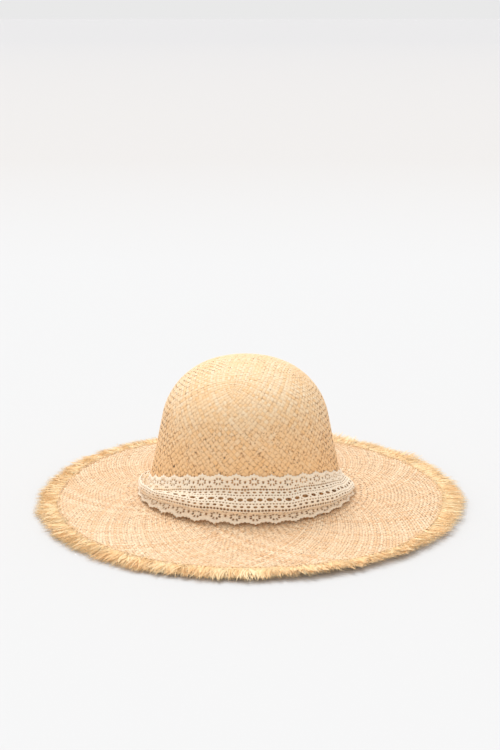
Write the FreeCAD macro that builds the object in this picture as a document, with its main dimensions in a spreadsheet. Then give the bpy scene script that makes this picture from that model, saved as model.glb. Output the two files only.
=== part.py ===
"""Straw sun hat: woven crown and brim, frayed brim edge, folded lace band, sweatband and threads.

Millimetres, +Z up, origin on the surface the hat lies on, under the middle of the brim.
The front of the hat faces -Y.

Every piece is a turned section. The sections are drawn on the XZ plane at the hat's half-width,
turned about Z, and then stretched front to back into the oval plan of a head.
"""
import FreeCAD, Part
import math
import os

import Sketcher

os.makedirs("parts", exist_ok=True)
doc = FreeCAD.newDocument("StrawSunHat")
Vector = FreeCAD.Vector
UPRIGHT = FreeCAD.Placement(Vector(0, 0, 0), FreeCAD.Rotation(Vector(1, 0, 0), 90))
SIDEWAYS = FreeCAD.Placement(Vector(0, 0, 0), FreeCAD.Rotation(Vector(1, 1, 1), 120))

# ---------------------------------------------------------------- driving dimensions
SIZES = {
    "oval_ratio": 1.07,             # front-to-back over side-to-side
    "straw_thickness": 1.5,         # woven raffia, two strands and the air between them
    # crown: wall line through headline and shoulder, then two arcs to the top; a size that
    # starts with = follows the others
    "crown_height": 145,
    "headline_height": 32,
    "headline_half_width": 93,
    "crown_taper": 11.5,            # of the wall, from the headline in to the shoulder
    "dome_height": 57,              # from the shoulder up to the top
    "dome_flatness": 1.3254,        # radius at the top, over that of one arc across the shoulders
    "shoulder_height": "=crown_height - dome_height",
    "shoulder_half_width": "=headline_half_width - crown_taper",
    "dome_top_radius": "=dome_flatness * (shoulder_half_width^2 + dome_height^2)"
                       " / (2 * dome_height)",
    "crown_hem_clearance": 3,       # lower end of the crown's wall above the flare
    # brim: collar inside the crown, flare, and the sheet falling to the edge
    "brim_half_width": 194,
    "brim_edge_height": 4.5,
    "brim_slope": 3.8,              # degrees
    "flare_radius": 12,
    "collar_overlap": 12,           # of the collar and the crown's wall
    # frayed edge
    "fringe_length": 21,
    "fringe_foot_start": 11,        # from the brim's edge to where the ends have drooped to the floor
    "fringe_foot_width": 8,
    "fringe_tip_thickness": 1.0,
    "fringe_press": 0.5,            # how far the ends would hang below the floor that flattens them
    # lace band, folded lengthwise over the flare
    "lace_thickness": 0.8,
    "lace_gap": 0.5,                # between the lace and the straw behind it
    "lace_top_height": 57,          # at the front
    "lace_side_height": 27,         # at the sides and round the back
    "lace_valley_height": 38,
    "lace_ridge_height": 26,
    "lace_ridge_reach": 8.5,        # ridge beyond the crown's wall
    "lace_tuck_height": 19.5,
    "lace_tuck_reach": 5.5,
    "lace_hem_reach": 11.5,         # lower edge beyond the headline
    "lace_join_gap": 0.6,
    "lace_tack_rise": 3,            # front tacks above the valley
    # sweatband inside the collar
    "sweatband_clearance": 2,       # lower edge above the flare
    "sweatband_width": 30,
    "sweatband_thickness": 1.2,
    "sweatband_join_gap": 0.6,
    # threads
    "thread_width": 1.0,
    "thread_height": 0.5,
    "head_seam_inset": 4,           # from the crown's hem
    "edge_seam_inset": 4,           # from the brim's edge
    "join_stitch_length": 5,
    "tack_stitch_length": 4,
}
# how many stitches of each kind, and the arc of the front that its tacks spread over
JOIN_STITCHES = 4
HEM_TACKS = 12
FRONT_TACKS = 5
FRONT_TACK_SPREAD = 100             # degrees
# shares of the lace's skirt, from its tuck down to its hem
JOIN_STITCH_SHARE = 0.3             # of the spacing, that a join stitch is wide
HEM_TACK_START = 0.8                # where a hem tack's upper end goes through the lace

sheet = doc.addObject("Spreadsheet::Sheet", "Sizes")
for row, alias in enumerate(SIZES, start=1):
    sheet.set(f"A{row}", alias)
    sheet.setAlias(f"B{row}", alias)
for row, value in enumerate(SIZES.values(), start=1):
    sheet.set(f"B{row}", str(value))
doc.recompute()


def bind(text):
    """The expression with every alias in it pointed at the sheet."""
    for alias in sorted(SIZES, key=len, reverse=True):
        text = text.replace("#" + alias, "Sizes." + alias)
    return text


def number(text):
    """The present value of an expression, to start a sketch near its answer."""
    for alias in sorted(SIZES, key=len, reverse=True):
        text = text.replace("#" + alias, repr(float(sheet.get(alias))))
    return float(doc.Sizes.evalExpression(text))


# ---------------------------------------------------------------- lines that pieces share
# Each is an expression for a half-width at a height, or a height at a half-width.
WALL_LEAN = "((#headline_half_width - #shoulder_half_width) / (#shoulder_height - #headline_height))"
WALL_RUN = f"sqrt(1 + {WALL_LEAN}^2)"
BRIM_FALL = "tan(#brim_slope * 1deg)"


def wall(height, depth="0"):
    """Half-width of the crown's wall at a height, depth millimetres in from its outside."""
    return (f"(#headline_half_width - ({height} - #headline_height) * {WALL_LEAN}"
            f" - ({depth}) * {WALL_RUN})")


def brim(half_width, depth="0"):
    """Height of the brim's upper face at a half-width, depth millimetres below it."""
    return (f"(#brim_edge_height + (#brim_half_width - {half_width}) * {BRIM_FALL}"
            f" - ({depth}) / cos(#brim_slope * 1deg))")


# the collar lies against the crown's inside, and the sweatband against the collar's
COLLAR_DEPTH = "#straw_thickness"
BAND_DEPTH = "(2 * #straw_thickness)"
BAND_INSIDE = "(2 * #straw_thickness + #sweatband_thickness)"

# the corner where collar and brim would meet without the flare between them
CORNER_ACROSS = (f"(({wall('0', COLLAR_DEPTH)} - {WALL_LEAN} * {brim('0')})"
                 f" / (1 - {WALL_LEAN} * {BRIM_FALL}))")
CORNER_UP = brim(CORNER_ACROSS)
FLARE_TURN = f"(90deg - atan({WALL_LEAN}) - #brim_slope * 1deg)"
FLARE_TOP = f"({CORNER_UP} + #flare_radius * tan({FLARE_TURN} / 2) / {WALL_RUN})"

HEM_HEIGHT = f"({FLARE_TOP} + #crown_hem_clearance)"
COLLAR_TOP = f"({HEM_HEIGHT} + #collar_overlap)"
SEAM_HEIGHT = f"({HEM_HEIGHT} + #head_seam_inset)"
BAND_START = f"({FLARE_TOP} + #sweatband_clearance)"


# ---------------------------------------------------------------- sketch helpers
def place(sketch, geometry, end, across, up):
    """Hold one end of a line at two expressions measured from the origin."""
    for kind, axis, expression in (("DistanceX", -2, across), ("DistanceY", -1, up)):
        if expression == "0":
            sketch.addConstraint(Sketcher.Constraint("PointOnObject", geometry, end, axis))
        else:
            dimension(sketch, expression, kind, -1, 1, geometry, end)


def dimension(sketch, expression, kind, *where):
    """A dimension that follows an expression."""
    index = sketch.addConstraint(Sketcher.Constraint(kind, *where, number(expression)))
    sketch.setExpression(f"Constraints[{index}]", bind(expression))


def new_sketch(name, plane=UPRIGHT):
    sketch = doc.addObject("Sketcher::SketchObject", name)
    sketch.Placement = plane
    return sketch


def outline(name, corners, closed, plane=UPRIGHT):
    """Straight lines through corners, each corner a pair of expressions."""
    sketch = new_sketch(name, plane)
    points = [Vector(number(across), number(up), 0) for across, up in corners]
    runs = list(zip(points, points[1:] + points[:1] if closed else points[1:]))
    for start, end in runs:
        sketch.addGeometry(Part.LineSegment(start, end))
    for line, (across, up) in enumerate(corners[:len(runs)]):
        place(sketch, line, 1, across, up)
    if not closed:
        place(sketch, len(runs) - 1, 2, *corners[-1])
    for line in range(len(runs) - 1):
        sketch.addConstraint(Sketcher.Constraint("Coincident", line, 2, line + 1, 1))
    if closed:
        sketch.addConstraint(Sketcher.Constraint("Coincident", len(runs) - 1, 2, 0, 1))
    return sketch


def strip(name, corners, plane=UPRIGHT):
    """A closed outline."""
    return outline(name, corners, closed=True, plane=plane)


def thicken(name, path, thickness):
    """A section of even thickness on the inner or under side of a path."""
    section = doc.addObject("Part::Offset2D", name)
    section.Source = path
    section.Fill = True
    section.Mode = "Skin"
    section.Join = "Intersection"
    section.setExpression("Value", bind(thickness))
    return section


def turned(name, section):
    """The section turned about Z."""
    ring = doc.addObject("Part::Revolution", name)
    ring.Source = section
    ring.Axis = Vector(0, 0, 1)
    ring.Base = Vector(0, 0, 0)
    ring.Angle = 360
    ring.Solid = section.isDerivedFrom("Sketcher::SketchObject")
    return ring


nodes = []


def stretched(name, ring):
    """A turned piece stretched into the oval plan."""
    piece = doc.addObject("Part::Scale", name)
    piece.Base = ring
    piece.Uniform = False
    piece.setExpression("YScale", bind("#oval_ratio"))
    return piece


def finish(name, ring):
    """Stretch a turned piece and keep it as a node."""
    keep(name, stretched(name, ring))


def keep(name, piece):
    piece.Label = name
    nodes.append(piece)


def cut(name, base, tool):
    """The base with the tool taken out of it."""
    left = doc.addObject("Part::Cut", name)
    left.Base = base
    left.Tool = tool
    return left


def gathered(name, rings):
    """Several separate solids as one group."""
    group = doc.addObject("Part::Compound", name)
    group.Links = rings
    return group


# ---------------------------------------------------------------- crown
SHOULDER_IN = (f"(#shoulder_half_width - #straw_thickness / {WALL_RUN})",
               f"(#shoulder_height - #straw_thickness * {WALL_LEAN} / {WALL_RUN})")


def arc(sketch, centre, start, end):
    """A counter-clockwise arc about a centre, its radius taken from where it starts."""
    circle = Part.Circle(centre, Vector(0, 0, 1), (start - centre).Length)
    angles = [math.atan2(point.y - centre.y, point.x - centre.x) for point in (start, end)]
    return sketch.addGeometry(Part.ArcOfCircle(circle, *angles))


def crown_section():
    """The leaning wall, the shoulder arc and the top arc, outside and inside."""
    hem = Vector(number(wall(HEM_HEIGHT)), number(HEM_HEIGHT), 0)
    hem_in = Vector(number(wall(HEM_HEIGHT, "#straw_thickness")), hem.y, 0)
    shoulder = Vector(number("#shoulder_half_width"), number("#shoulder_height"), 0)
    shoulder_in = Vector(number(SHOULDER_IN[0]), number(SHOULDER_IN[1]), 0)
    top_radius = number("#dome_top_radius")
    apex = Vector(0, number("#crown_height"), 0)
    top_centre = apex - Vector(0, top_radius, 0)
    # the shoulder arc touches the wall at the shoulder and the top arc from inside
    inward = (shoulder_in - shoulder).normalize()
    gap = shoulder - top_centre
    radius = (top_radius**2 - gap.dot(gap)) / (2 * (top_radius + gap.dot(inward)))
    centre = shoulder + inward * radius
    outward = (centre - top_centre).normalize()
    thickness = (shoulder_in - shoulder).Length
    meeting = centre + outward * radius
    meeting_in = meeting - outward * thickness
    apex_in = apex - Vector(0, thickness, 0)

    sketch = new_sketch("crown_section")
    wall_out = sketch.addGeometry(Part.LineSegment(hem, shoulder))
    shoulder_out = arc(sketch, centre, shoulder, meeting)
    top_out = arc(sketch, top_centre, meeting, apex)
    middle = sketch.addGeometry(Part.LineSegment(apex, apex_in))
    top_inside = arc(sketch, top_centre, meeting_in, apex_in)
    shoulder_inside = arc(sketch, centre, shoulder_in, meeting_in)
    wall_inside = sketch.addGeometry(Part.LineSegment(hem_in, shoulder_in))
    hem_line = sketch.addGeometry(Part.LineSegment(hem_in, hem))
    place(sketch, wall_out, 1, wall(HEM_HEIGHT), HEM_HEIGHT)
    place(sketch, wall_out, 2, "#shoulder_half_width", "#shoulder_height")
    place(sketch, wall_inside, 1, wall(HEM_HEIGHT, "#straw_thickness"), HEM_HEIGHT)
    place(sketch, wall_inside, 2, *SHOULDER_IN)
    for kind, *ends in (
        ("Tangent", wall_out, 2, shoulder_out, 1),
        ("Tangent", shoulder_out, 2, top_out, 1),
        ("PointOnObject", top_out, 3, -2),
        ("PointOnObject", top_out, 2, -2),
        ("Coincident", top_out, 2, middle, 1),
        ("Coincident", top_inside, 3, top_out, 3),
        ("Coincident", shoulder_inside, 3, shoulder_out, 3),
        ("Coincident", wall_inside, 2, shoulder_inside, 1),
        ("Tangent", shoulder_inside, 2, top_inside, 1),
        ("PointOnObject", top_inside, 2, -2),
        ("Coincident", top_inside, 2, middle, 2),
        ("Coincident", hem_line, 1, wall_inside, 1),
        ("Coincident", hem_line, 2, wall_out, 1),
    ):
        sketch.addConstraint(Sketcher.Constraint(kind, *ends))
    dimension(sketch, "#dome_top_radius", "Radius", top_out)
    dimension(sketch, "#crown_height", "DistanceY", -1, 1, top_out, 2)
    return sketch


finish("crown", turned("crown_turned", crown_section()))


# ---------------------------------------------------------------- brim
def brim_path():
    """Upper face of the brim: collar against the crown's inside, flare arc, falling sheet."""
    top = Vector(number(wall(COLLAR_TOP, COLLAR_DEPTH)), number(COLLAR_TOP), 0)
    corner = Vector(number(CORNER_ACROSS), number(CORNER_UP), 0)
    edge = Vector(number("#brim_half_width"), number("#brim_edge_height"), 0)
    up_collar = (top - corner).normalize()
    along_brim = (edge - corner).normalize()
    radius = number("#flare_radius")
    half_turn = (math.pi - up_collar.getAngle(along_brim)) / 2
    first = corner + up_collar * (radius * math.tan(half_turn))
    second = corner + along_brim * (radius * math.tan(half_turn))
    centre = corner + (up_collar + along_brim).normalize() * (radius / math.cos(half_turn))
    first_angle = math.atan2(first.y - centre.y, first.x - centre.x)
    second_angle = math.atan2(second.y - centre.y, second.x - centre.x)
    flare = Part.Circle(centre, Vector(0, 0, 1), radius)

    sketch = new_sketch("brim_path")
    sketch.addGeometry(Part.LineSegment(top, first))
    sketch.addGeometry(Part.ArcOfCircle(flare, first_angle, second_angle))
    sketch.addGeometry(Part.LineSegment(second, edge))
    sketch.addGeometry(Part.Point(corner), True)
    place(sketch, 0, 1, wall(COLLAR_TOP, COLLAR_DEPTH), COLLAR_TOP)
    place(sketch, 2, 2, "#brim_half_width", "#brim_edge_height")
    place(sketch, 3, 1, CORNER_ACROSS, CORNER_UP)
    sketch.addConstraint(Sketcher.Constraint("PointOnObject", 3, 1, 0))
    sketch.addConstraint(Sketcher.Constraint("PointOnObject", 3, 1, 2))
    sketch.addConstraint(Sketcher.Constraint("Tangent", 0, 2, 1, 1))
    sketch.addConstraint(Sketcher.Constraint("Tangent", 1, 2, 2, 1))
    dimension(sketch, "#flare_radius", "Radius", 1)
    return sketch


brim_section = thicken("brim_section", brim_path(), "-#straw_thickness")
finish("brim", turned("brim_turned", brim_section))

# ---------------------------------------------------------------- frayed edge of the brim
FRINGE_TIP = "(#brim_half_width + #fringe_length)"
FOOT_START = "(#brim_half_width + #fringe_foot_start)"
FOOT_END = f"({FOOT_START} + #fringe_foot_width)"
UNDER_EDGE = (f"(#brim_half_width - #straw_thickness * sin(#brim_slope * 1deg))",
              "(#brim_edge_height - #straw_thickness * cos(#brim_slope * 1deg))")
fringe_section = strip("fringe_section", [
    UNDER_EDGE,
    (FOOT_START, "-#fringe_press"),
    (FOOT_END, "-#fringe_press"),
    (FRINGE_TIP, "#fringe_tip_thickness / 2"),
    (FOOT_END, "#fringe_tip_thickness * 1.5"),
    ("#brim_half_width", "#brim_edge_height"),
])
# the surface the hat lies on flattens the drooping ends
floor = doc.addObject("Part::Box", "floor")
for size, place_axis, expression in (
    ("Length", "x", f"4 * {FRINGE_TIP}"),
    ("Width", "y", f"4 * {FRINGE_TIP}"),
    ("Height", "z", "2 * #fringe_press"),
):
    floor.setExpression(size, bind(expression))
    share = 1 if size == "Height" else 0.5
    floor.setExpression(f"Placement.Base.{place_axis}", bind(f"-({expression}) * {share}"))
keep("brim_fringe", cut("fringe_pressed",
                        stretched("fringe_oval", turned("fringe_turned", fringe_section)), floor))

# ---------------------------------------------------------------- threads that lie along a ring
def wall_strip(name, low, high, outside, inside):
    """A band on the crown's lean between two heights and two depths."""
    return strip(name, [
        (wall(low, outside), low),
        (wall(high, outside), high),
        (wall(high, inside), high),
        (wall(low, inside), low),
    ])


def brim_strip(name, near, far, top, bottom):
    """A band on the brim's slope between two half-widths and two depths."""
    return strip(name, [
        (near, brim(near, top)),
        (far, brim(far, top)),
        (far, brim(far, bottom)),
        (near, brim(near, bottom)),
    ])


SEAM_TOP = f"({SEAM_HEIGHT} + #thread_width)"
THREAD_INSIDE = f"({BAND_INSIDE} + #thread_height)"
head_needle = wall_strip("head_needle_section", SEAM_HEIGHT, SEAM_TOP, "-#thread_height", "0")
head_bobbin = wall_strip("head_bobbin_section", SEAM_HEIGHT, SEAM_TOP, BAND_INSIDE, THREAD_INSIDE)
finish("head_seam_stitching", gathered("head_seam_threads", [
    turned("head_needle_turned", head_needle),
    turned("head_bobbin_turned", head_bobbin),
]))

EDGE_SEAM_FAR = "(#brim_half_width - #edge_seam_inset)"
EDGE_SEAM_NEAR = f"({EDGE_SEAM_FAR} - #thread_width)"
THREAD_UNDER = "(#straw_thickness + #thread_height)"
edge_needle = brim_strip("edge_needle_section", EDGE_SEAM_NEAR, EDGE_SEAM_FAR, "-#thread_height", "0")
edge_bobbin = brim_strip("edge_bobbin_section", EDGE_SEAM_NEAR, EDGE_SEAM_FAR,
                         "#straw_thickness", THREAD_UNDER)
finish("brim_edge_stitching", gathered("brim_edge_threads", [
    turned("edge_needle_turned", edge_needle),
    turned("edge_bobbin_turned", edge_bobbin),
]))


# ---------------------------------------------------------------- joins at the middle of the back
def slit(name, ring, gap):
    """The ring cut through at the middle of the back, leaving a gap."""
    blade = doc.addObject("Part::Box", name + "_blade")
    blade.setExpression("Length", bind(gap))
    blade.setExpression("Width", bind("2 * #headline_half_width"))
    blade.setExpression("Height", bind("#crown_height"))
    blade.setExpression("Placement.Base.x", bind(f"-({gap}) / 2"))
    return cut(name, ring, blade)


def short_turn(name, section, azimuth, length, half_width):
    """The section turned only far enough to be a stitch of a length, centred on an azimuth."""
    stitch = turned(name, section)
    stitch.Placement.Rotation = FreeCAD.Rotation(Vector(0, 0, 1), azimuth)
    sweep = f"({length}) / ({half_width}) * 180 / pi"
    stitch.setExpression("Angle", bind(sweep))
    stitch.setExpression("Placement.Rotation.Angle", bind(f"({azimuth} - {sweep} / 2) * 1deg"))
    return stitch


BACK = 90

# ---------------------------------------------------------------- sweatband
BAND_END = f"({BAND_START} + #sweatband_width)"
band_section = wall_strip("sweatband_section", BAND_START, BAND_END, BAND_DEPTH, BAND_INSIDE)
finish("sweatband", slit("sweatband_slit", turned("sweatband_turned", band_section),
                         "#sweatband_join_gap"))

band_stitches = []
for count in range(JOIN_STITCHES):
    share = (count + 1) / (JOIN_STITCHES + 1)
    low = f"({SEAM_TOP} + ({BAND_END} - {SEAM_TOP}) * {share})"
    high = f"({low} + #thread_width)"
    section = wall_strip(f"sweatband_stitch_section_{count + 1}", low, high,
                         BAND_INSIDE, THREAD_INSIDE)
    band_stitches.append(short_turn(f"sweatband_stitch_{count + 1}", section, BACK,
                                    "#join_stitch_length", wall(low, BAND_INSIDE)))
finish("sweatband_join_stitches", gathered("sweatband_stitches", band_stitches))

# ---------------------------------------------------------------- lace band
LACE_FACE = "(#lace_gap + #lace_thickness)"
HEM_ACROSS = "(#headline_half_width + #lace_hem_reach)"
HEM_UP = f"({brim(HEM_ACROSS)} + {LACE_FACE})"
TUCK = (f"({wall('#lace_tuck_height')} + #lace_tuck_reach)", "#lace_tuck_height")
HEM = (HEM_ACROSS, HEM_UP)
lace_path = outline("lace_path", [
    HEM,
    TUCK,
    (f"({wall('#lace_ridge_height')} + #lace_ridge_reach)", "#lace_ridge_height"),
    (wall("#lace_valley_height", f"-{LACE_FACE}"), "#lace_valley_height"),
    (wall("#lace_top_height", f"-{LACE_FACE}"), "#lace_top_height"),
], closed=False)
lace_section = thicken("lace_section", lace_path, "#lace_thickness")
lace_ring = turned("lace_turned", lace_section)

# everything above the band's top edge, which dips from the front to the sides
FRONT = wall("#lace_top_height")
above_section = strip("above_lace_section", [
    ("0", "#lace_side_height"),
    (f"2 * {FRONT}", "#lace_side_height"),
    (f"2 * {FRONT}", "#crown_height"),
    (f"-2 * {FRONT}", "#crown_height"),
    (f"-2 * {FRONT}", "2 * #lace_top_height - #lace_side_height"),
], plane=SIDEWAYS)
above = doc.addObject("Part::Extrusion", "above_lace")
above.Base = above_section
above.DirMode = "Custom"
above.Dir = Vector(1, 0, 0)
above.Symmetric = True
above.Solid = True
above.setExpression("LengthFwd", bind("4 * #headline_half_width"))
finish("lace_band", slit("lace_slit", cut("lace_cut", lace_ring, above), "#lace_join_gap"))


def on_skirt(share, lift="0"):
    """A point on the lace between tuck and hem, lifted off its outer face."""
    across = f"({HEM[0]} - {TUCK[0]})"
    fall = f"({TUCK[1]} - {HEM[1]})"
    run = f"sqrt({across}^2 + {fall}^2)"
    return (f"({TUCK[0]} + {across} * {share} + ({lift}) * {fall} / {run})",
            f"({TUCK[1]} - {fall} * {share} + ({lift}) * {across} / {run})")


lace_stitches = []
for count in range(JOIN_STITCHES):
    start = (count + 0.5) / JOIN_STITCHES
    end = start + JOIN_STITCH_SHARE / JOIN_STITCHES
    section = strip(f"lace_stitch_section_{count + 1}", [
        on_skirt(start),
        on_skirt(end),
        on_skirt(end, "#thread_height"),
        on_skirt(start, "#thread_height"),
    ])
    lace_stitches.append(short_turn(f"lace_stitch_{count + 1}", section, BACK,
                                    "#join_stitch_length", on_skirt(start)[0]))
finish("lace_join_stitches", gathered("lace_stitches", lace_stitches))

# ---------------------------------------------------------------- tacks that hold the lace on
# Round the hem a tack goes over the lace's lower edge and into the brim; at the front another
# row goes through the lace into the crown.
TACK_ACROSS = f"({HEM_ACROSS} + #thread_height)"
hem_tack = strip("hem_tack_section", [
    (HEM_ACROSS, brim(HEM_ACROSS)),
    (TACK_ACROSS, brim(TACK_ACROSS)),
    on_skirt(HEM_TACK_START, "#thread_height"),
    on_skirt(HEM_TACK_START),
    HEM,
])
TACK_UP = "(#lace_valley_height + #lace_tack_rise)"
front_tack = wall_strip("front_tack_section", TACK_UP, f"({TACK_UP} + #thread_width)",
                        "-#lace_gap", "0")
tacks = []
for count in range(HEM_TACKS):
    azimuth = BACK + 360 * (count + 0.5) / HEM_TACKS
    tacks.append(short_turn(f"hem_tack_{count + 1}", hem_tack, azimuth,
                            "#thread_width", HEM_ACROSS))
for count in range(FRONT_TACKS):
    azimuth = -BACK + FRONT_TACK_SPREAD * (count / (FRONT_TACKS - 1) - 0.5)
    tacks.append(short_turn(f"front_tack_{count + 1}", front_tack, azimuth,
                            "#tack_stitch_length", wall(TACK_UP)))
finish("lace_tack_stitches", gathered("lace_tacks", tacks))

# ---------------------------------------------------------------- check and write
doc.recompute()
for item in doc.Objects:
    if "Invalid" in item.State or "Error" in item.State:
        raise RuntimeError(f"{item.Label} failed: {item.State}")
for piece in nodes:
    if piece.Shape.isNull() or not piece.Shape.isValid():
        raise RuntimeError(f"{piece.Label} has no valid shape")
    if piece.Shape.Volume <= 0 or not piece.Shape.Solids:
        raise RuntimeError(f"{piece.Label} is not solid")
for piece in nodes:
    piece.Shape.exportStep(f"parts/{piece.Label}.step")
    box = piece.Shape.BoundBox
    print(f"{piece.Label:26s} solids {len(piece.Shape.Solids):3d}  volume {piece.Shape.Volume:9.1f}"
          f"  x {box.XMin:7.1f} {box.XMax:6.1f}  y {box.YMin:7.1f} {box.YMax:6.1f}"
          f"  z {box.ZMin:5.1f} {box.ZMax:5.1f}")
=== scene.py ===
# %% [markdown]
# # A straw sun hat
#
# The hat is plaited from raffia: flat strips of palm leaf that pass over and under each other on
# the diagonal. Its brim ends in a frayed edge, and a crocheted lace ribbon is folded round the foot
# of the crown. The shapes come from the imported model, so the scene starts by loading it, and every
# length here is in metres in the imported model's own frame: Z is up and the front faces -Y.

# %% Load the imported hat
import math

import bmesh
import bpy
import numpy as np
from mathutils import Matrix, Vector


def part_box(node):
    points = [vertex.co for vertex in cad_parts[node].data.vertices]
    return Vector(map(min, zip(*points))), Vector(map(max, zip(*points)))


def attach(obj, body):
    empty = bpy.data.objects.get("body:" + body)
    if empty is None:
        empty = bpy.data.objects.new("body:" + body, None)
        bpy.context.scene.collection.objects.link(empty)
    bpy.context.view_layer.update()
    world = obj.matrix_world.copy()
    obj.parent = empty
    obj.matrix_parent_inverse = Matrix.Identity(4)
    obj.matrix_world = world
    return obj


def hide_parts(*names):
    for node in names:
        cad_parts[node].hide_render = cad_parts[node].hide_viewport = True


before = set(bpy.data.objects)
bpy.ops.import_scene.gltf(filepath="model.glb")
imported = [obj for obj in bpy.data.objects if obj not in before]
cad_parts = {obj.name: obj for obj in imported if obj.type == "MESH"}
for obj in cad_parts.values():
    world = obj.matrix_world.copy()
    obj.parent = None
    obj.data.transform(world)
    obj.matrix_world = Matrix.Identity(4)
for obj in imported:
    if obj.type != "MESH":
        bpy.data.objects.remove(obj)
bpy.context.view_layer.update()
print("nodes:", sorted(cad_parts))

# %% [markdown]
# ## The outline of the straw
#
# The crown and the brim are turned shapes, stretched front to back into the oval of a head. Strips
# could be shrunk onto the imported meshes, but a table is simpler and exact: it holds the outline's
# half-width, height and outward direction, point by point. It also holds `swirl`, the sum of step /
# half-width, which grows evenly with the turn along a line that climbs at 45 degrees. That is the
# number a diagonal weave needs.

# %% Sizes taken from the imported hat
crown_low, crown_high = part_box("crown")
brim_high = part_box("brim")[1]
OVAL = crown_high.y / crown_high.x  # depth of the oval over its width
CROWN_TOP = crown_high.z
HEM_HEIGHT = crown_low.z  # lower end of the crown's wall
COLLAR_TOP = brim_high.z
BRIM_EDGE = brim_high.x
FRINGE_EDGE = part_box("brim_fringe")[1].x
STRAW = 0.0015  # thickness of the woven straw
HEADLINE = (0.093, 0.032)  # half-width and height of two points of the wall
SHOULDER = (0.0815, 0.088)
TOP_RADIUS = 0.115
BRIM_EDGE_HEIGHT = 0.0045
BRIM_SLOPE = math.radians(3.8)
FLARE_RADIUS = 0.012
LEAN = math.atan2(HEADLINE[0] - SHOULDER[0], SHOULDER[1] - HEADLINE[1])
print(f"oval {OVAL:.3f}, hem {HEM_HEIGHT:.4f}, collar {COLLAR_TOP:.4f}, edge {BRIM_EDGE:.4f}")


# %% Turn an outline into a table
def unit(vectors):
    """The same vectors, each one long."""
    return vectors / np.linalg.norm(vectors, axis=-1)[..., None]


def run_length(points):
    """How far along a line of points each one is."""
    return np.r_[0, np.cumsum(np.linalg.norm(np.diff(points, axis=0), axis=1))]


def round_hat(across, turn, up):
    """Points of the oval hat from their half-width, turn and height."""
    return np.stack([across * np.cos(turn), across * np.sin(turn) * OVAL, up], -1)


def line_points(start, end, count=60):
    """Points along a straight run of an outline."""
    share = np.linspace(0, 1, count)[:, None]
    return np.array(start) * (1 - share) + np.array(end) * share


def arc_points(centre, radius, start, end, count=120):
    """Points along an arc of an outline; its angles are in radians."""
    angle = np.linspace(start, end, count)
    return np.array(centre) + radius * np.stack([np.cos(angle), np.sin(angle)], 1)


class Outline:
    """Half-width, height, outward direction and swirl along an outline."""

    def __init__(self, runs, fine=6000):
        points = np.concatenate(runs)
        keep = np.r_[True, np.linalg.norm(np.diff(points, axis=0), axis=1) > 1e-9]
        points = points[keep]
        length = run_length(points)
        self.length = np.linspace(0, length[-1], fine)
        self.across = np.interp(self.length, length, points[:, 0])
        self.up = np.interp(self.length, length, points[:, 1])
        step = unit(np.gradient(np.stack([self.across, self.up], 1), axis=0))
        self.out = np.stack([step[:, 1], -step[:, 0]], 1)
        rate = 1 / np.maximum(self.across, 1e-4)
        gaps = np.diff(self.length) * (rate[1:] + rate[:-1]) / 2
        self.swirl = np.r_[0, np.cumsum(gaps)]

    def at_swirl(self, swirl, turn, lift=0.0):
        """Points and outward directions on the turned, stretched surface."""
        length = np.interp(swirl, self.swirl, self.length)
        return self.at_length(length, turn, lift)

    def at_length(self, length, turn, lift=0.0):
        """The same, from how far along the outline they are."""
        across = np.interp(length, self.length, self.across)
        up = np.interp(length, self.length, self.up)
        out = np.stack([np.interp(length, self.length, self.out[:, k]) for k in (0, 1)], -1)
        direction = unit(np.stack([out[..., 0] * np.cos(turn) * OVAL, out[..., 0] * np.sin(turn),
                                   out[..., 1] * OVAL], -1))
        return round_hat(across, turn, up) + direction * np.asarray(lift)[..., None], direction


def wall_at(height, depth=0.0):
    """Half-width of the crown's wall at a height, some way in from its outside."""
    return HEADLINE[0] - (height - HEADLINE[1]) * math.tan(LEAN) - depth / math.cos(LEAN)


# %% The crown's outline, through the middle of the straw
def crown_outline():
    inward = np.array([-math.cos(LEAN), -math.sin(LEAN)])
    shoulder = np.array(SHOULDER)
    top_centre = np.array([0, CROWN_TOP - TOP_RADIUS])
    gap = shoulder - top_centre
    radius = (TOP_RADIUS**2 - gap @ gap) / (2 * (TOP_RADIUS + gap @ inward))
    centre = shoulder + inward * radius
    meeting = math.atan2(*(centre - top_centre)[::-1])
    middle = STRAW / 2
    foot = np.array([wall_at(HEM_HEIGHT, middle), HEM_HEIGHT])
    return Outline([
        line_points(foot, shoulder + inward * middle),
        arc_points(centre, radius - middle, LEAN, meeting),
        arc_points(top_centre, TOP_RADIUS - middle, meeting, math.pi / 2),
    ])


CROWN = crown_outline()
print(f"crown outline {CROWN.length[-1]:.4f} m long, top {CROWN.up[-1]:.4f}")


# %% The brim's outline: collar, flare and sheet
def brim_outline():
    depth = 1.5 * STRAW
    fall, lean = math.tan(BRIM_SLOPE), math.tan(LEAN)
    edge = np.array([BRIM_EDGE, BRIM_EDGE_HEIGHT - STRAW / 2])
    top = np.array([wall_at(COLLAR_TOP, depth), COLLAR_TOP])
    # where the collar's line and the brim's line would meet
    reach = (wall_at(0, depth) - lean * (edge[1] + edge[0] * fall)) / (1 - lean * fall)
    corner = np.array([reach, edge[1] + (edge[0] - reach) * fall])
    up_collar = (top - corner) / np.linalg.norm(top - corner)
    along_brim = (edge - corner) / np.linalg.norm(edge - corner)
    half_turn = (math.pi - math.acos(up_collar @ along_brim)) / 2
    radius = FLARE_RADIUS + STRAW / 2
    middle = up_collar + along_brim
    centre = corner + middle / np.linalg.norm(middle) * radius / math.cos(half_turn)
    first = corner + up_collar * radius * math.tan(half_turn)
    second = corner + along_brim * radius * math.tan(half_turn)
    start, end = (math.atan2(p[1] - centre[1], p[0] - centre[0]) % math.tau for p in (first, second))
    return Outline([line_points(top, first), arc_points(centre, radius, start, end),
                    line_points(second, edge)])


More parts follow.
